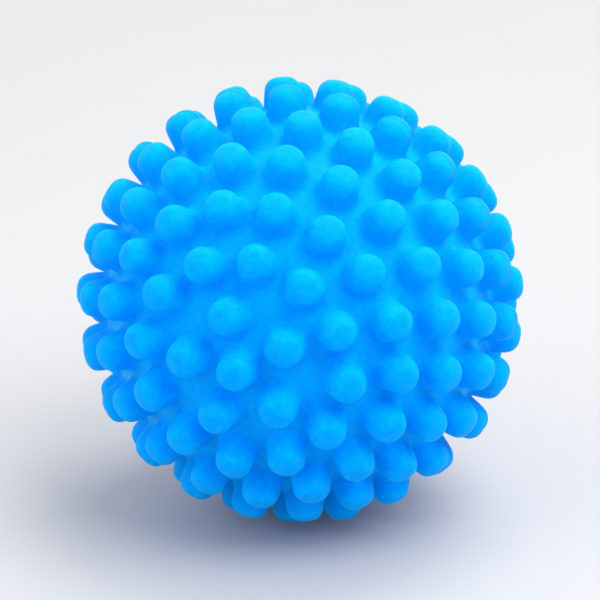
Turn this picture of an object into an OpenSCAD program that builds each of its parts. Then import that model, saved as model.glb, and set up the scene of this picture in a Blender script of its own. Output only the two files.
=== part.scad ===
// Nubbed dryer ball: a hollow soft-PVC ball in two moulded half shells, with round-tipped
// nubs set in rings about the mould axis, and an air plug in a soft seat at the back pole.
// Frame: origin at the ball's centre, +Z up, mould axis along Y, front pole on -Y.
// The rings are evenly spaced from the pole to the seam, and the last one lies on the seam,
// so that the seam halves each of its nubs.

/* [Ball] */
// Diameter over the tips of the nubs
ball_d = 75; // [70:0.5:80]
// Thickness of the moulded wall between the nubs
wall_t = 2.4; // [2.2:0.1:3.2]

/* [Nubs] */
// Height of a nub above the wall
nub_h = 5.5; // [4.5:0.1:6.5]
// Diameter of a nub where it leaves the wall
nub_root_d = 7.2; // [6:0.1:8]
// Diameter of a nub's round tip
nub_tip_d = 5.8; // [4.4:0.1:6]
// Angle at the ball's centre between neighbouring nubs of a ring
nub_pitch = 15.4; // [14.6:0.2:17]
// Number of nubs in the ring beside the pole, which has its own spacing
pole_ring_nubs = 5; // [5:1:6]
// How far each ring is turned past the ring on its seam side
ring_turn = 6; // [0:0.5:8]

/* [Seam] */
// Thickness of the tongue that laps the two halves inside the wall
tongue_t = 0.9; // [0.7:0.1:1]
// How far the tongue reaches into the back half
tongue_l = 1.2; // [0.8:0.1:1.5]
// Play between the tongue and its groove
seam_play = 0.05; // [0.02:0.01:0.1]

/* [Air plug] */
// Diameter of the seat's neck, which fills the hole in the wall
seat_neck_d = 4.8; // [4.2:0.1:5]
// Diameter of the seat's two flanges
seat_flange_d = 6.8; // [6.4:0.1:7]
// Thickness of each flange
seat_flange_t = 0.8; // [0.6:0.1:1]
// Diameter of the plug's stem
plug_stem_d = 2.4; // [2:0.1:2.6]
// Diameter of the plug's head
plug_head_d = 4.8; // [4.4:0.1:5.4]
// Height of the plug's head above the seat
plug_head_t = 0.9; // [0.7:0.1:1.2]

/* [Colours] */
// Colour of the moulded skin
skin_colour = "dodgerblue"; // [dodgerblue, deepskyblue, royalblue]
// Colour of the air plug and its seat
plug_colour = "steelblue"; // [steelblue, royalblue, dodgerblue]

/* [Hidden] */

skin_fn = 96;
nub_fn = 32;

// The skin: the outside of the wall, and its inside
body_r = ball_d / 2 - nub_h;
inner_r = body_r - wall_t;

// A nub: a cone that starts in the wall's thickness and runs into a round tip
nub_sink = wall_t / 3;
tip_r = nub_tip_d / 2;
tip_z = ball_d / 2 - tip_r;
cone_top_inset = 0.1;

// The rings are counted from the pole to the seam
rings = 6;
ring_step = 90 / rings;

// A ring holds the nubs that its length has room for, and is turned about the mould axis
// from +X towards +Z, so that most of its nubs stand in the gaps of the rings beside it
function nubs_in_ring(ring) =
    ring == 1 ? pole_ring_nubs : round(360 * sin(ring * ring_step) / nub_pitch);
function turn_of_ring(ring) = ring_turn * (rings - ring);

// The seam's tongue lies in the middle of the wall
tongue_r = (body_r + inner_r) / 2;

// The seat: a pad inside the wall gives its inner flange a flat place to bear on
pad_t = 0.8;
pad_r = seat_flange_d / 2 + 0.8;
pad_y = inner_r - pad_t;
rim_clearance = 0.1;
recess_r = seat_flange_d / 2 + rim_clearance;
recess_y = sqrt(body_r * body_r - recess_r * recess_r) - seat_flange_t;
stem_play = 0.05;
seat_top_y = recess_y + seat_flange_t;
seat_low_y = pad_y - seat_flange_t;

// The plug: its barb holds it below the seat, and its head has a dimple
barb_l = 1.6;
barb_tip_r = 0.8;
barb_lip = 0.5;
dimple_r = 3.2;
dimple_depth = 0.35;
head_edge = 0.35;

overlap = 1;
far = ball_d;

// Stands what is drawn along +Z on the skin, at an angle from the front pole
module on_skin(polar, turn) {
    rotate([0, -turn, 0]) rotate([90, 0, 0]) rotate([0, polar, 0]) children();
}

// One nub along +Z: its cone ends just inside the round tip
module nub() {
    cone_l = tip_z - body_r + nub_sink;
    translate([0, 0, body_r - nub_sink])
        cylinder(h = cone_l, r1 = nub_root_d / 2, r2 = tip_r - cone_top_inset, $fn = nub_fn);
    translate([0, 0, tip_z]) sphere(r = tip_r, $fn = nub_fn);
}

// A ring of nubs about the mould axis
module nub_ring(ring) {
    count = nubs_in_ring(ring);
    for (i = [0 : count - 1])
        on_skin(ring * ring_step, turn_of_ring(ring) + i * 360 / count) nub();
}

// The front half of the space, up to the seam
module front_space() {
    translate([-far, -2 * far, -far]) cube(2 * far);
}

// Half of the hollow ball with its rings, the pole to -Y; the seam cuts the last ring
module nubbed_half() {
    intersection() {
        difference() {
            union() {
                sphere(r = body_r, $fn = skin_fn);
                for (ring = [1 : rings]) nub_ring(ring);
                children();
            }
            sphere(r = inner_r, $fn = skin_fn);
        }
        front_space();
    }
}

// A ring about the mould axis, from y = 0 to y = length
module seam_ring(thickness, length) {
    rotate([-90, 0, 0]) difference() {
        cylinder(h = length, r = tongue_r + thickness / 2, $fn = skin_fn);
        translate([0, 0, -overlap])
            cylinder(h = length + 2 * overlap, r = tongue_r - thickness / 2, $fn = skin_fn);
    }
}

// A disc on the mould axis, from y = from to y = to
module pole_disc(from, to, r) {
    translate([0, from, 0]) rotate([-90, 0, 0]) cylinder(h = to - from, r = r, $fn = nub_fn);
}

module front_half_shell() {
    color(skin_colour) {
        nubbed_half() on_skin(0, 0) nub();
        // The tongue is rooted in the front half
        translate([0, -overlap, 0]) seam_ring(tongue_t, tongue_l + overlap);
    }
}

module back_half_shell() {
    groove_t = tongue_t + 2 * seam_play;
    color(skin_colour) difference() {
        union() {
            mirror([0, 1, 0]) nubbed_half();
            pole_disc(pad_y, inner_r + wall_t / 4, pad_r);
        }
        translate([0, -overlap, 0]) seam_ring(groove_t, tongue_l + seam_play + overlap);
        pole_disc(pad_y - overlap, body_r, seat_neck_d / 2 + seam_play);
        pole_disc(recess_y, body_r + overlap, recess_r);
    }
}

// A soft grommet: a neck through the wall between two flanges, bored for the stem
module valve_seat() {
    color(plug_colour) difference() {
        union() {
            pole_disc(seat_low_y, pad_y, seat_flange_d / 2);
            pole_disc(seat_low_y, seat_top_y, seat_neck_d / 2);
            pole_disc(recess_y, seat_top_y, seat_flange_d / 2);
        }
        pole_disc(seat_low_y - overlap, seat_top_y + overlap, plug_stem_d / 2 + stem_play);
    }
}

// The stopper: a dimpled head on the seat, a stem through it, and a barb below it
module air_plug() {
    stem_r = plug_stem_d / 2;
    head_r = plug_head_d / 2;
    head_top_y = seat_top_y + plug_head_t;
    color(plug_colour) {
        difference() {
            union() {
                pole_disc(seat_top_y, head_top_y - head_edge, head_r);
                translate([0, head_top_y - head_edge, 0]) rotate([-90, 0, 0])
                    cylinder(h = head_edge, r1 = head_r, r2 = head_r - head_edge, $fn = nub_fn);
                pole_disc(seat_low_y - barb_l / 2, seat_top_y + head_edge, stem_r);
            }
            translate([0, head_top_y - dimple_depth + dimple_r, 0])
                sphere(r = dimple_r, $fn = nub_fn);
        }
        translate([0, seat_low_y, 0]) rotate([90, 0, 0])
            cylinder(h = barb_l, r1 = stem_r + barb_lip, r2 = barb_tip_r, $fn = nub_fn);
    }
}

front_half_shell();
back_half_shell();
valve_seat();
air_plug();
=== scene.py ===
"""A nubbed dryer ball of soft PVC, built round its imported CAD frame.

Each half shell is meshed nub by nub. A nub owns the patch of skin that is nearer to it than
to any other nub, and rings of quads run from the edge of that patch up the nub to its tip.
The seam, the rim with its tongue or groove, the inner wall and the hole for the air plug
close each half into one solid. Units are metres, and the frame is the CAD's: the mould axis
is Y, the front pole is on -Y, and the air plug is in the back pole.
"""
import math
import random

import bmesh
import bpy
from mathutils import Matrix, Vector


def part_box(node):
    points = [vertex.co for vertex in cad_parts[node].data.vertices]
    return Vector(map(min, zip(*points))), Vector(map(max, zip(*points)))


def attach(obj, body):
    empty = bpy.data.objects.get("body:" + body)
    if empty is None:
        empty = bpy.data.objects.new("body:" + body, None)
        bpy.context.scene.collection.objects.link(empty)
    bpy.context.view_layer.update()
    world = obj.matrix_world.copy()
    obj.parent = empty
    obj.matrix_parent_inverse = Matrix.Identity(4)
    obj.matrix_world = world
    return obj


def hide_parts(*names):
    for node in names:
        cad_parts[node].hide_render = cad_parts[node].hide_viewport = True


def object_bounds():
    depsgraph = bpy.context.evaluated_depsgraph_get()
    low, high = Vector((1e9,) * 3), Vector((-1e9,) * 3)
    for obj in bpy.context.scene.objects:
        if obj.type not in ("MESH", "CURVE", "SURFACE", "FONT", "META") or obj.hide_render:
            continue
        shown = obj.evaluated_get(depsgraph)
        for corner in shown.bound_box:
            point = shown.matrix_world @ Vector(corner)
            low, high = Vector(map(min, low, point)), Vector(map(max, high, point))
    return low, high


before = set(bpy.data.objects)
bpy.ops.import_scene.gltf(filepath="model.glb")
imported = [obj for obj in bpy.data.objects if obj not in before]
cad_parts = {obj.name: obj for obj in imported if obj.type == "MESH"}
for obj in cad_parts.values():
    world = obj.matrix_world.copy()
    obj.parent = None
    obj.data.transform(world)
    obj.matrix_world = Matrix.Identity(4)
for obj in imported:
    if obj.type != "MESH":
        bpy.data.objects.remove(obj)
cad_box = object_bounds()

MM = 0.001

# The ball: its size from the frame, and its wall as in the CAD
BALL_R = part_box("front_half_shell")[1].x
NUB_H = 5.5 * MM
BODY_R = BALL_R - NUB_H
WALL_T = 2.4 * MM
INNER_R = BODY_R - WALL_T

# The rings of nubs, counted from the pole to the seam, as in the CAD
SEAM_RING = 6
RING_STEP = 90 / SEAM_RING
NUB_PITCH = 15.4
POLE_RING_NUBS = 5
RING_TURN = 6

# A nub's outline: a tapering shank with a soft foot and a blunt round tip; the higher the
# power of the dome, the blunter the tip, and 2 is round
SHANK_R = 3.5 * MM
SHANK_TAPER = 0.13
FOOT_R = 1.1 * MM
DOME_START = 2.75 * MM
DOME_POWER = 2.9

# How far one nub may differ from the next: how far its tip leans, what it lacks in height,
# its girth at the tip, and what is added to its dome's power. A lean grows with the height
# to the power LEAN_POWER
NUB_LEAN = 0.16 * MM
LEAN_POWER = 1.5
NUB_SHORT = (0.14 * MM, 0.26 * MM)
NUB_GIRTH = 0.02
NUB_POWER = (-0.15, 0.2)

# How finely a patch is cut, with TIP_STEPS as the steps from a dome's last ring to its tip,
# and how far off a nub's foot can still reach into the patch
TURN_STEP = math.radians(12)
FOOT_RINGS = 5
SHANK_RINGS = 3
DOME_RINGS = 8
TIP_STEPS = 0.6
NEAR_ANGLE = math.radians(24)

# The seam: a low bead with a fine line down its middle, as (distance from it, height), and
# the most of the way to the mesh's next line that it may take up near a tip
BEAD = ((0.0, 0.015 * MM), (0.05 * MM, 0.1 * MM), (0.16 * MM, 0.085 * MM), (0.28 * MM, 0.0))
BEAD_ROOM = 0.75

# The lap inside the wall
LAP_R = (BODY_R + INNER_R) / 2
LAP_T = 0.9 * MM
LAP_L = 1.2 * MM
LAP_PLAY = 0.05 * MM

# The air plug and its seat, with the play between them and the hole they fill
SEAT_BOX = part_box("valve_seat")
PLUG_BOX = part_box("air_plug")
SEAT_R = SEAT_BOX[1].x
SEAT_T = 0.8 * MM
NECK_R = 2.4 * MM
RECESS_R = SEAT_R + 0.1 * MM
RECESS_Y = SEAT_BOX[1].y - SEAT_T
PAD_R = SEAT_R + 0.8 * MM
PAD_Y = SEAT_BOX[0].y + SEAT_T
STEM_R = 1.2 * MM
BARB_R = 1.7 * MM
BARB_TIP_R = 0.8 * MM
HEAD_R = PLUG_BOX[1].x
DISH_R = 0.66 * HEAD_R
DISH_DEPTH = 0.32 * MM
DISH_ROWS = 6
PLAY = 0.05 * MM

# How far the edges of the hole, the seat and the plug are rounded
HOLE_EDGE = 0.15 * MM
SEAT_EDGE = 0.18 * MM
PLUG_EDGE = 0.2 * MM

# The inner wall's rows, and how far from the pole the last one is on the half with no hole
INNER_ROWS = 16
LAST_ROW_R = 0.08 * INNER_R

# How many steps go round a turned piece, how near two points are when they are one, and how
# sharp an edge is when it stays sharp
LATHE_STEPS = 72
WELD = 0.002 * MM
CREASE_ANGLE = math.radians(38)


# ---- Where the nubs stand -------------------------------------------------------------

def direction(polar, turn, side):
    """A point on the unit sphere; side is -1 for the front half and 1 for the back."""
    p, t = math.radians(polar), math.radians(turn)
    return Vector((math.sin(p) * math.cos(t), side * math.cos(p), math.sin(p) * math.sin(t)))


def ring_axes(ring, side):
    """The axes of a ring's nubs, as many as its length has room for."""
    count = POLE_RING_NUBS
    if ring > 1:
        count = round(360 * math.sin(math.radians(ring * RING_STEP)) / NUB_PITCH)
    turn = RING_TURN * (SEAM_RING - ring)
    return [direction(ring * RING_STEP, turn + i * 360 / count, side) for i in range(count)]


class Nub:
    """One nub's axis, and the small ways in which it differs from the others."""

    def __init__(self, axis, side, seed, on_seam=False, is_hole=False):
        draw = random.Random(seed)
        self.axis = axis
        self.side = side
        self.on_seam = on_seam
        self.is_hole = is_hole
        across = Vector((0, 1, 0)).cross(axis)
        self.across = across.normalized() if across.length > MM else Vector((1, 0, 0))
        self.up = axis.cross(self.across)
        self.lean = self.across * draw.uniform(-NUB_LEAN, NUB_LEAN)
        self.short = draw.uniform(*NUB_SHORT)
        self.girth = draw.uniform(-NUB_GIRTH, NUB_GIRTH)
        self.power = DOME_POWER + draw.uniform(*NUB_POWER)
        if on_seam:
            self.short = max(height for _, height in BEAD) + NUB_SHORT[0] / 2
        else:
            self.lean += self.up * draw.uniform(-NUB_LEAN, NUB_LEAN)

    def turn_of(self, point):
        """The angle of a point about the nub's axis."""
        return math.atan2(point.dot(self.up), point.dot(self.across))

    def off_axis(self, point):
        """The part of a point's place that is square to the nub's axis."""
        return point - self.axis * point.dot(self.axis)


def all_nubs():
    """Every nub, and the hole for the air plug, which takes the place of a nub."""
    nubs = [Nub(direction(0, 0, -1), -1, seed=1)]
    for side in (-1, 1):
        for ring in range(1, SEAM_RING):
            for i, axis in enumerate(ring_axes(ring, side)):
                nubs.append(Nub(axis, side, seed=1000 * side + 40 * ring + i))
    for i, axis in enumerate(ring_axes(SEAM_RING, -1)):
        axis.y = 0.0
        nubs.append(Nub(axis, 0, seed=5000 + i, on_seam=True))
    nubs.append(Nub(direction(0, 0, 1), 1, seed=2, is_hole=True))
    return nubs


def patch_corners(nubs):
    """For each nub, in order round it: its patch's corners, with the nubs that meet there."""
    hull = bmesh.new()
    index = {hull.verts.new(nub.axis): i for i, nub in enumerate(nubs)}
    bmesh.ops.convex_hull(hull, input=hull.verts)
    bmesh.ops.triangulate(hull, faces=hull.faces)
    corners = [[] for _ in nubs]
    for face in hull.faces:
        ids = {index[v] for v in face.verts}
        a, b, c = (v.co for v in face.verts)
        corner = (b - a).cross(c - a).normalized()
        if corner.dot(a) < 0:
            corner.negate()
        for i in ids:
            corners[i].append((corner, ids - {i}))
    hull.free()
    for nub, ring in zip(nubs, corners):
        ring.sort(key=lambda item: nub.turn_of(item[0]))
    return corners


def on_arc(a, b, share):
    """A point between two points of the unit sphere."""
    angle = a.angle(b)
    return (a * math.sin((1 - share) * angle) + b * math.sin(share * angle)) / math.sin(angle)


# ---- A nub's outline ------------------------------------------------------------------

FOOT_SWEEP = math.pi / 2 - math.atan(SHANK_TAPER)
FOOT_EDGE = SHANK_R + FOOT_R * math.tan(FOOT_SWEEP / 2)
FOOT_ARC = FOOT_R * FOOT_SWEEP
FOOT_TOP = FOOT_R * (1 - math.cos(FOOT_SWEEP))


def foot_height(rho):
    """How high the fillet at the foot stands at a distance from the nub's axis."""
    if rho >= FOOT_EDGE:
        return 0.0
    reach = min((FOOT_EDGE - rho) / FOOT_R, math.sin(FOOT_SWEEP))
    return FOOT_R * (1 - math.cos(math.asin(reach)))


def foot_point(arc):
    """Distance from the axis, and height, at an arc length out from the top of the fillet."""
    if arc >= FOOT_ARC:
        return FOOT_EDGE + arc - FOOT_ARC, 0.0
    sweep = FOOT_SWEEP - arc / FOOT_R
    return FOOT_EDGE - FOOT_R * math.sin(sweep), FOOT_R * (1 - math.cos(sweep))


def foot_arc(rho):
    """The arc length at which foot_point is at a distance from the axis."""
    if rho >= FOOT_EDGE:
        return FOOT_ARC + rho - FOOT_EDGE
    return FOOT_R * (FOOT_SWEEP - math.asin(min(1.0, (FOOT_EDGE - rho) / FOOT_R)))


def upper_outline(nub):
    """Points from the top of the fillet to near the tip, as (distance from the axis, height)."""
    points = []
    for i in range(1, SHANK_RINGS + 1):
        height = FOOT_TOP + (DOME_START - FOOT_TOP) * i / SHANK_RINGS
        points.append((SHANK_R - SHANK_TAPER * height, height))
    dome_h = NUB_H - nub.short - DOME_START
    bend = 2 / nub.power
    for i in range(1, DOME_RINGS + 1):
        sweep = math.pi / 2 * i / (DOME_RINGS + TIP_STEPS)
        height = DOME_START + dome_h * math.sin(sweep) ** bend
        points.append(((SHANK_R - SHANK_TAPER * height) * math.cos(sweep) ** bend, height))
    return points


def bead_height(gap):
    """The height of the seam's bead at a distance from the seam."""
    for (near, near_h), (far, far_h) in zip(BEAD, BEAD[1:]):
        if gap <= far:
            return near_h + (far_h - near_h) * (gap - near) / (far - near)
    return 0.0


# ---- The outside of one half ----------------------------------------------------------

def edge_cuts(nubs, i, other, a, b):
    """How many steps the edge between two patches is cut into, the same from both sides."""
    pair = nubs[min(i, other)], nubs[max(i, other)]
    swept = pair[0].turn_of(b) - pair[0].turn_of(a)
    swept = abs((swept + math.pi) % (2 * math.pi) - math.pi)
    step = TURN_STEP / 2 if pair[1].is_hole else TURN_STEP
    return max(1, round(swept / step))


def seam_edge(a, b, cuts):
    """The points of an edge that crosses the seam, with the bead's lines either side of it."""
    middle = on_arc(a, b, 0.5)
    middle.y = 0.0
    middle.normalize()
    half = max(1, round(cuts / 2))
    gaps = [gap / (BODY_R * a.angle(middle)) for gap, _ in BEAD[1:]]
    points = [on_arc(a, middle, k / half) for k in range(half)]
    points += [on_arc(a, middle, 1 - gap) for gap in reversed(gaps)] + [middle]
    points += [on_arc(middle, b, gap) for gap in gaps]
    return points + [on_arc(middle, b, k / half) for k in range(1, half)]


def patch_edge(nubs, corners, i, side):
    """The points of a patch's edge on the unit sphere, in order round the nub."""
    points = []
    for (a, a_ids), (b, b_ids) in zip(corners[i], corners[i][1:] + corners[i][:1]):
        other = (a_ids & b_ids).pop()
        cuts = edge_cuts(nubs, i, other, a, b)
        if nubs[i].on_seam and nubs[other].on_seam:
            points += seam_edge(a, b, cuts)
        else:
            points += [on_arc(a, b, k / cuts) for k in range(cuts)]
    if nubs[i].on_seam:
        points = [p for p in points if p.y * side >= 0]
        start = max(range(len(points)), key=lambda k: (points[k] - points[k - 1]).length)
        points = points[start:] + points[:start]
    return points


def relief(point, nubs):
    """The height that the feet of some nubs add at a point of the unit sphere."""
    return sum(foot_height(BODY_R * nub.off_axis(point).length) for nub in nubs)


def place(nub, turn, rho, height):
    """The point at a turn about the nub, a distance from its axis and a height on it."""
    share = height / NUB_H
    rho *= 1 + nub.girth * share
    along = math.sqrt(BODY_R ** 2 - rho ** 2) + height
    return nub.axis * along + turn * rho + nub.lean * share ** LEAN_POWER


def patch_rings(nub, near, edge):
    """The rings of a patch from its edge up, and its tip."""
    rhos = [BODY_R * nub.off_axis(p).length for p in edge]
    turns = [nub.off_axis(p).normalized() for p in edge]
    rings = [[p * (BODY_R + relief(p, near + [nub])) for p in edge]]
    for k in range(1, FOOT_RINGS + 1):
        ring = []
        for rho, turn in zip(rhos, turns):
            point = place(nub, turn, *foot_point(foot_arc(rho) * (1 - k / FOOT_RINGS)))
            outward = point.normalized()
            ring.append(point + outward * relief(outward, near))
        rings.append(ring)
    rings += [[place(nub, turn, rho, height) for turn in turns]
              for rho, height in upper_outline(nub)]
    return rings, place(nub, turns[0], 0.0, NUB_H - nub.short)


def straighten(rings, side):
    """Sets the bead's lines at their own distances from the seam, narrower near the tip."""
    widest = BEAD[-1][0]
    for ring in rings:
        for lines in (ring, ring[::-1]):
            room = BEAD_ROOM * abs(lines[len(BEAD)].y) / widest
            for point, (gap, _) in zip(lines, BEAD):
                point.y = side * gap * min(1.0, room)


def add_band(mesh, low, high, closed=True):
    """Quads between two rows of the same length."""
    for n in range(len(low) if closed else len(low) - 1):
        m = (n + 1) % len(low)
        mesh.faces.new((low[n], low[m], high[m], high[n]))


def add_fan(mesh, ring, tip, closed=True):
    """Triangles from a row to a point."""
    apex = mesh.verts.new(tip)
    for n in range(len(ring) if closed else len(ring) - 1):
        mesh.faces.new((ring[n], ring[(n + 1) % len(ring)], apex))


def add_patch(mesh, nubs, corners, i, side):
    """One nub with its patch of skin, or the half of a seam nub that is on this side."""
    nub = nubs[i]
    near = [n for n in nubs if n is not nub and not n.is_hole
            and n.axis.angle(nub.axis) < NEAR_ANGLE]
    rings, tip = patch_rings(nub, near, patch_edge(nubs, corners, i, side))
    if nub.on_seam:
        straighten(rings, side)
        tip.y = 0.0
    rows = [[mesh.verts.new(point) for point in ring] for ring in rings]
    for low, high in zip(rows, rows[1:]):
        add_band(mesh, low, high, closed=not nub.on_seam)
    add_fan(mesh, rows[-1], tip, closed=not nub.on_seam)


def raise_bead(mesh):
    """Lifts the skin beside the seam into its bead."""
    mesh.normal_update()
    lifts = []
    for vert in mesh.verts:
        height = bead_height(abs(vert.co.y))
        if height > 0:
            outward = Vector((vert.normal.x, 0, vert.normal.z)).normalized()
            lifts.append((vert, outward * height))
    for vert, lift in lifts:
        vert.co += lift


# ---- The inside, the rim and the hole -------------------------------------------------

def turn_on_y(co):
    """The angle of a point about the mould axis."""
    return math.atan2(co.z, co.x)


def open_loops(mesh):
    """The open edge on the seam and, on the back half, the one round the hole."""
    verts = {v for edge in mesh.edges if edge.is_boundary for v in edge.verts}
    seam = [v for v in verts if abs(v.co.y) < WELD]
    hole = [v for v in verts if abs(v.co.y) >= WELD]
    return [sorted(loop, key=lambda v: turn_on_y(v.co)) for loop in (seam, hole)]


def add_ring(mesh, turns, rho, y):
    """A row of points round the mould axis."""
    return [mesh.verts.new((rho * math.cos(t), y, rho * math.sin(t))) for t in turns]


def zip_loops(mesh, outer, inner):
    """Triangles between two closed rows of unlike length, both sorted by their turn."""
    o_turn = [turn_on_y(v.co) for v in outer] + [turn_on_y(outer[0].co) + 2 * math.pi]
    i_turn = [turn_on_y(v.co) for v in inner] + [turn_on_y(inner[0].co) + 2 * math.pi]
    o = i = 0
    while o < len(outer) or i < len(inner):
        a, b = outer[o % len(outer)], inner[i % len(inner)]
        if i == len(inner) or (o < len(outer) and o_turn[o + 1] <= i_turn[i + 1]):
            mesh.faces.new((a, outer[(o + 1) % len(outer)], b))
            o += 1
        else:
            mesh.faces.new((a, inner[(i + 1) % len(inner)], b))
            i += 1


def lap_outline(side):
    """The rim from the skin inwards: a tongue on the front half, its groove on the back."""
    slack = LAP_PLAY if side > 0 else 0.0
    outer, inner = LAP_R + LAP_T / 2 + slack, LAP_R - LAP_T / 2 - slack
    depth = LAP_L + slack
    return [(outer, 0.0), (outer, depth), (inner, depth), (inner, 0.0)]


def inner_outline(side, last_rho):
    """The inner wall from the rim towards the pole, down to a distance from the axis."""
    end = math.acos(last_rho / INNER_R)
    angles = [end * k / INNER_ROWS for k in range(INNER_ROWS + 1)]
    return [(INNER_R * math.cos(a), side * INNER_R * math.sin(a)) for a in angles]


def hole_outline():
    """From the pad inside the wall, out through the hole and the recess to the skin."""
    rim_r = RECESS_R + HOLE_EDGE
    rim_y = math.sqrt(BODY_R ** 2 - rim_r ** 2)
    # The middle of a quarter round stands this far off both of the lines that it joins
    sag = 0.3 * HOLE_EDGE
    return [(PAD_R, PAD_Y), (NECK_R + PLAY, PAD_Y), (NECK_R + PLAY, RECESS_Y),
            (RECESS_R, RECESS_Y), (RECESS_R, rim_y - HOLE_EDGE),
            (RECESS_R + sag, rim_y - sag), (rim_r, rim_y)]


def close_half(mesh, side):
    """Adds the rim, the inner wall and, on the back half, the hole."""
    seam, hole = open_loops(mesh)
    if hole:
        turns = [turn_on_y(v.co) for v in hole]
        outline = lap_outline(side) + inner_outline(side, PAD_R) + hole_outline()
    else:
        turns = [2 * math.pi * k / LATHE_STEPS - math.pi for k in range(LATHE_STEPS)]
        outline = lap_outline(side) + inner_outline(side, LAST_ROW_R)
    rows = [add_ring(mesh, turns, rho, y) for rho, y in outline]
    # Straight in from every point of the seam, so that no face crosses a gap between nubs
    root = add_ring(mesh, [turn_on_y(v.co) for v in seam], (BODY_R + outline[0][0]) / 2, 0.0)
    add_band(mesh, seam, root)
    zip_loops(mesh, root, rows[0])
    for low, high in zip(rows, rows[1:]):
        add_band(mesh, low, high)
    if hole:
        add_band(mesh, rows[-1], hole)
    else:
        add_fan(mesh, rows[-1], (0, side * INNER_R, 0))


def half_shell(name, side, nubs, corners):
    """One half of the skin, as a closed solid."""
    mesh = bmesh.new()
    for i, nub in enumerate(nubs):
        if nub.side in (0, side) and not nub.is_hole:
            add_patch(mesh, nubs, corners, i, side)
    bmesh.ops.remove_doubles(mesh, verts=mesh.verts, dist=WELD)
    raise_bead(mesh)
    close_half(mesh, side)
    return finish_piece(name, mesh)


# ---- Turned pieces --------------------------------------------------------------------

def soften(outline, radius, steps=4, closed=False):
    """Rounds the corners of an outline with short arcs, which never meet on a short side."""
    most = 0.45
    points = []
    count = len(outline)
    for n, corner in enumerate(outline):
        corner = Vector(corner)
        if not closed and n in (0, count - 1):
            points.append(corner)
            continue
        before = Vector(outline[n - 1]) - corner
        after = Vector(outline[(n + 1) % count]) - corner
        cut = min(radius, before.length * most, after.length * most)
        start = corner + before.normalized() * cut
        end = corner + after.normalized() * cut
        for k in range(steps + 1):
            t = k / steps
            points.append(start * (1 - t) ** 2 + corner * 2 * t * (1 - t) + end * t ** 2)
    return points


def turned(name, outline, closed):
    """A solid turned about the mould axis; an outline that isn't closed ends on the axis."""
    mesh = bmesh.new()
    turns = [2 * math.pi * k / LATHE_STEPS for k in range(LATHE_STEPS)]
    body = outline if closed else outline[1:-1]
    rows = [add_ring(mesh, turns, rho, y) for rho, y in body]
    for low, high in zip(rows, rows[1:] + (rows[:1] if closed else [])):
        add_band(mesh, low, high)
    if not closed:
        add_fan(mesh, rows[0], (0, outline[0][1], 0))
        add_fan(mesh, rows[-1], (0, outline[-1][1], 0))
    return finish_piece(name, mesh)


def seat_grommet():
    """The soft seat: a neck between an outer flange, flush with the skin, and an inner one."""
    low, high = SEAT_BOX[0].y, SEAT_BOX[1].y
    bore = STEM_R + PLAY
    outline = [(bore, low), (SEAT_R, low), (SEAT_R, PAD_Y), (NECK_R, PAD_Y),
               (NECK_R, RECESS_Y), (SEAT_R, RECESS_Y), (SEAT_R, high), (bore, high)]
    return turned("seat_grommet", soften(outline, SEAT_EDGE, closed=True), closed=True)


def plug_stopper():
    """The stopper: a dished head with a raised lip, a stem, and a barb that holds it in."""
    low, high = PLUG_BOX[0].y, PLUG_BOX[1].y
    seat_low, seat_high = SEAT_BOX[0].y, SEAT_BOX[1].y
    sweeps = [math.pi / 2 * k / DISH_ROWS for k in range(DISH_ROWS)]
    dish = [(DISH_R * math.cos(a), high - DISH_DEPTH * math.sin(a)) for a in sweeps]
    outline = [(0, low), (BARB_TIP_R, low), (BARB_R, seat_low), (STEM_R, seat_low),
               (STEM_R, seat_high), (HEAD_R, seat_high), (HEAD_R, high)]
    outline = soften(outline + dish[:1], PLUG_EDGE) + dish[1:] + [(0, high - DISH_DEPTH)]
    return turned("plug_stopper", outline, closed=False)


def finish_piece(name, mesh):
    """Turns a closed bmesh into a smooth-shaded piece, creased only at real corners."""
    bmesh.ops.recalc_face_normals(mesh, faces=mesh.faces)
    for face in mesh.faces:
        face.smooth = True
    for edge in mesh.edges:
        edge.smooth = edge.calc_face_angle(0.0) < CREASE_ANGLE
    data = bpy.data.meshes.new(name)
    mesh.to_mesh(data)
    mesh.free()
    piece = bpy.data.objects.new(name, data)
    bpy.context.scene.collection.objects.link(piece)
    return piece


# ---- Materials ------------------------------------------------------------------------

# Soft PVC: how wide the clouds, the unevenness and the grain are, and how deep the last two
CLOUD_SIZE = 11 * MM
PEEL_SIZE, PEEL_DEPTH = 1.3 * MM, 0.05 * MM
GRAIN_SIZE, GRAIN_DEPTH = 0.3 * MM, 0.012 * MM

# How much light it scatters, and how far from the seam it does so in full
SCATTER = 0.75
SEAM_REACH = 2.5 * MM


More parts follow.
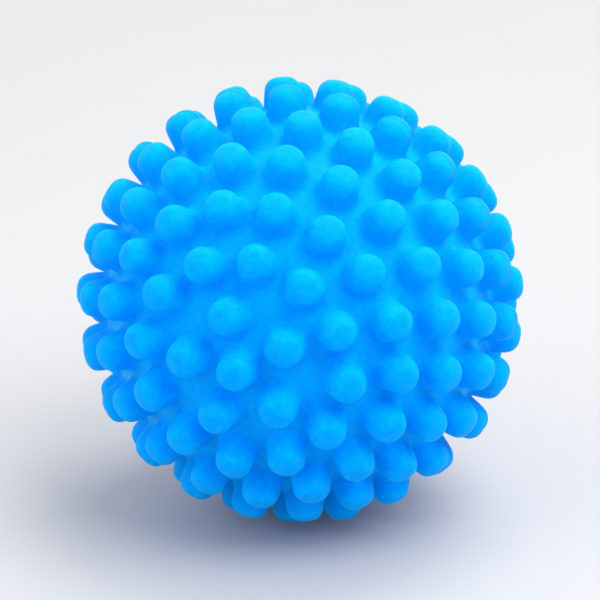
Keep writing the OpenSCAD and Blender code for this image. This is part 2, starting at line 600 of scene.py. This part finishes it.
class Shader:
    """A material made of nodes; a value given to a node is a number, a colour or a socket."""

    def __init__(self, name):
        self.material = bpy.data.materials.new(name)
        self.material.use_nodes = True
        self.tree = self.material.node_tree
        self.surface = self.tree.nodes["Principled BSDF"]

    def add(self, kind, values=(), **settings):
        """A new node, with its settings, and its inputs by name or number."""
        node = self.tree.nodes.new(kind)
        for key, value in settings.items():
            setattr(node, key, value)
        self.set(node, values)
        return node

    def set(self, node, values):
        """Links each value that is a socket, and sets the others on the node."""
        for key, value in dict(values).items():
            if isinstance(value, bpy.types.NodeSocket):
                self.tree.links.new(value, node.inputs[key])
            else:
                node.inputs[key].default_value = value

    def noise(self, size, detail=2.0):
        """A cloud whose features are about as wide as size."""
        place = self.add("ShaderNodeTexCoord").outputs["Object"]
        values = {"Vector": place, "Scale": 1 / size, "Detail": detail}
        return self.add("ShaderNodeTexNoise", values).outputs["Fac"]

    def remap(self, value, low, high, to_low=0.0, to_high=1.0):
        """Stretches low to high into to_low to to_high, and holds what is beyond them."""
        values = {"Value": value, "From Min": low, "From Max": high,
                  "To Min": to_low, "To Max": to_high}
        return self.add("ShaderNodeMapRange", values).outputs["Result"]

    def math(self, operation, a, b):
        return self.add("ShaderNodeMath", {0: a, 1: b}, operation=operation).outputs[0]

    def mix(self, share, a, b):
        node = self.add("ShaderNodeMix", {0: share, 6: a, 7: b}, data_type="RGBA")
        return node.outputs[2]

    def bump(self, height, depth, normal=None):
        """A normal tilted by a height of 0 to 1 times a depth, on top of another bump."""
        values = {"Height": height, "Distance": depth, "Strength": 1.0}
        if normal is not None:
            values["Normal"] = normal
        return self.add("ShaderNodeBump", values).outputs["Normal"]

    def off_seam(self, reach):
        """0 on the seam, and 1 from a distance of reach on."""
        place = self.add("ShaderNodeTexCoord").outputs["Object"]
        along = self.add("ShaderNodeSeparateXYZ", {0: place}).outputs["Y"]
        return self.remap(self.math("ABSOLUTE", along, 0.0), 0.0, reach)

    def rise(self):
        """0 on the skin between the nubs, and 1 at their tips."""
        place = self.add("ShaderNodeTexCoord").outputs["Object"]
        length = self.add("ShaderNodeVectorMath", {0: place}, operation="LENGTH")
        return self.remap(length.outputs["Value"], BODY_R, BALL_R)


def scaled(colour, factor):
    """A colour made darker or lighter."""
    return tuple(factor * c for c in colour[:3]) + (1.0,)


def pigment(shader, rise, cloud, peel, grain, wall_colour, tip_colour):
    """The wall's colour going over to the tips' as the surface rises, with clouds, mottling and
    darker specks. On the skin this is painted light and shade: the skin between the nubs is
    painted lighter and the tips darker, to even out the shade in the hollows.

    The noises stay mostly between 0.3 and 0.7, and the remaps start from there.
    """
    # Painted light and shade: the colour follows the height over the skin, with a random cloud
    # added
    share = shader.math("ADD", shader.math("MULTIPLY", rise, 0.7),
                        shader.remap(cloud, 0.3, 0.7, 0.0, 0.3))
    colour = shader.mix(share, wall_colour, tip_colour)
    mottle = shader.remap(peel, 0.35, 0.65, 0.0, 0.45)
    colour = shader.mix(mottle, colour, scaled(wall_colour, 1.22))
    speck = shader.remap(grain, 0.45, 0.7, 0.0, 0.5)
    return shader.mix(speck, colour, scaled(wall_colour, 0.68))


def satin(shader, rise, cloud, peel, roughness):
    """An uneven roughness, lower where handling has burnished the tips."""
    rubbed = shader.math("MULTIPLY", shader.remap(rise, 0.8, 1.0), shader.remap(cloud, 0.4, 0.6))
    rough = shader.math("ADD", roughness, shader.remap(peel, 0.3, 0.7, -0.05, 0.05))
    return shader.math("SUBTRACT", rough, shader.math("MULTIPLY", rubbed, 0.08))


def soft_pvc(name, wall_colour, tip_colour, roughness):
    """Moulded soft PVC: satin and faintly translucent."""
    shader = Shader(name)
    rise = shader.rise()
    cloud = shader.noise(CLOUD_SIZE, detail=3)
    peel = shader.noise(PEEL_SIZE)
    grain = shader.noise(GRAIN_SIZE)
    # The halves are welded, so no light is lost where their meshes meet
    scatter = shader.math("MULTIPLY", shader.off_seam(SEAM_REACH), SCATTER)
    shader.set(shader.surface, {
        "Base Color": pigment(shader, rise, cloud, peel, grain, wall_colour, tip_colour),
        "Roughness": satin(shader, rise, cloud, peel, roughness),
        "Normal": shader.bump(grain, GRAIN_DEPTH, shader.bump(peel, PEEL_DEPTH)),
        # Little gloss, in the skin's own hue
        "IOR": 1.46,
        "Specular IOR Level": 0.07,
        "Specular Tint": (0.1, 0.6, 1.0, 1),
        "Subsurface Weight": scatter,
        "Subsurface Radius": (0.15, 0.75, 1.0),
        "Subsurface Scale": 3.5 * MM,
    })
    return shader.material


def pale_floor():
    shader = Shader("pale_floor")
    cloud = shader.noise(0.12, detail=4)
    grain = shader.noise(1.2 * MM)
    colour = shader.mix(cloud, (0.50, 0.50, 0.505, 1), (0.53, 0.53, 0.53, 1))
    shader.set(shader.surface, {
        "Base Color": colour,
        "Roughness": shader.remap(grain, 0.3, 0.7, 0.55, 0.68),
        "Normal": shader.bump(grain, 0.01 * MM),
        "Specular IOR Level": 0.25,
    })
    return shader.material


# ---- Floor, light and camera ----------------------------------------------------------

# The camera: its angles in degrees, its distance, and how wide it sees at that distance
VIEW_AZIMUTH = 17.3
VIEW_ELEVATION = 20.5
VIEW_DISTANCE = 0.82
VIEW_WIDTH = 0.1
SENSOR = 36.0

FLOOR_REACH = 3.0
SKY_COLOUR = (0.97, 0.985, 1.0, 1)
SKY_STRENGTH = 0.95


def back_vector(azimuth, elevation):
    """The direction from the ball towards a camera or lamp; azimuth 0 is in front, on -Y."""
    a, e = math.radians(azimuth), math.radians(elevation)
    return Vector((math.sin(a) * math.cos(e), -math.cos(a) * math.cos(e), math.sin(e)))


def aim(thing, azimuth, elevation, distance):
    """Stands a camera or lamp off from the ball's centre, looking at it."""
    back = back_vector(azimuth, elevation)
    thing.location = back * distance
    thing.rotation_mode = "QUATERNION"
    thing.rotation_quaternion = back.to_track_quat("Z", "Y")


def link(name, data):
    thing = bpy.data.objects.new(name, data)
    bpy.context.scene.collection.objects.link(thing)
    return thing


def make_floor():
    mesh = bmesh.new()
    bmesh.ops.create_grid(mesh, x_segments=2, y_segments=2, size=FLOOR_REACH)
    data = bpy.data.meshes.new("floor")
    mesh.to_mesh(data)
    mesh.free()
    floor = link("floor", data)
    floor.location.z = cad_box[0].z
    floor.data.materials.append(pale_floor())


def make_lamp(name, azimuth, elevation, distance, size, power):
    data = bpy.data.lights.new(name, "AREA")
    data.shape = "DISK"
    data.size = size
    data.energy = power
    aim(link(name, data), azimuth, elevation, distance)


def make_world():
    world = bpy.data.worlds.new("studio")
    world.use_nodes = True
    background = world.node_tree.nodes["Background"]
    background.inputs["Color"].default_value = SKY_COLOUR
    background.inputs["Strength"].default_value = SKY_STRENGTH
    bpy.context.scene.world = world


def make_camera():
    data = bpy.data.cameras.new("camera")
    data.sensor_width = SENSOR
    data.lens = SENSOR * VIEW_DISTANCE / VIEW_WIDTH
    data.clip_start, data.clip_end = 0.01, 20.0
    camera = link("camera", data)
    aim(camera, VIEW_AZIMUTH, VIEW_ELEVATION, VIEW_DISTANCE)
    bpy.context.scene.camera = camera


# ---- The scene ------------------------------------------------------------------------

make_camera()
make_floor()
make_world()
make_lamp("key", azimuth=62, elevation=52, distance=0.9, size=0.7, power=5.4)
make_lamp("fill", azimuth=-35, elevation=24, distance=1.0, size=0.8, power=2.2)
make_lamp("top", azimuth=150, elevation=70, distance=0.8, size=0.5, power=3.0)
bpy.context.scene.view_settings.view_transform = "Standard"

# Painted light and shade: the skin between the nubs is painted lighter than the nub tips,
# evening out the shade that falls in the hollows
skin = soft_pvc("skin_pvc", (0.0, 0.357, 0.94, 1), (0.0, 0.308, 0.90, 1), 0.56)
seat = soft_pvc("seat_pvc", (0.0, 0.22, 0.80, 1), (0.0, 0.27, 0.87, 1), 0.44)
plug = soft_pvc("plug_pvc", (0.0, 0.20, 0.76, 1), (0.0, 0.25, 0.84, 1), 0.38)

nubs = all_nubs()
corners = patch_corners(nubs)
PIECES = (
    (half_shell("front_skin", -1, nubs, corners), "front_half_shell", "skin", skin),
    (half_shell("back_skin", 1, nubs, corners), "back_half_shell", "skin", skin),
    (seat_grommet(), "valve_seat", "seat", seat),
    (plug_stopper(), "air_plug", "plug", plug),
)
for piece, node_name, slot, material in PIECES:
    piece.data.materials.append(material)
    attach(piece, "root")
    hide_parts(node_name)
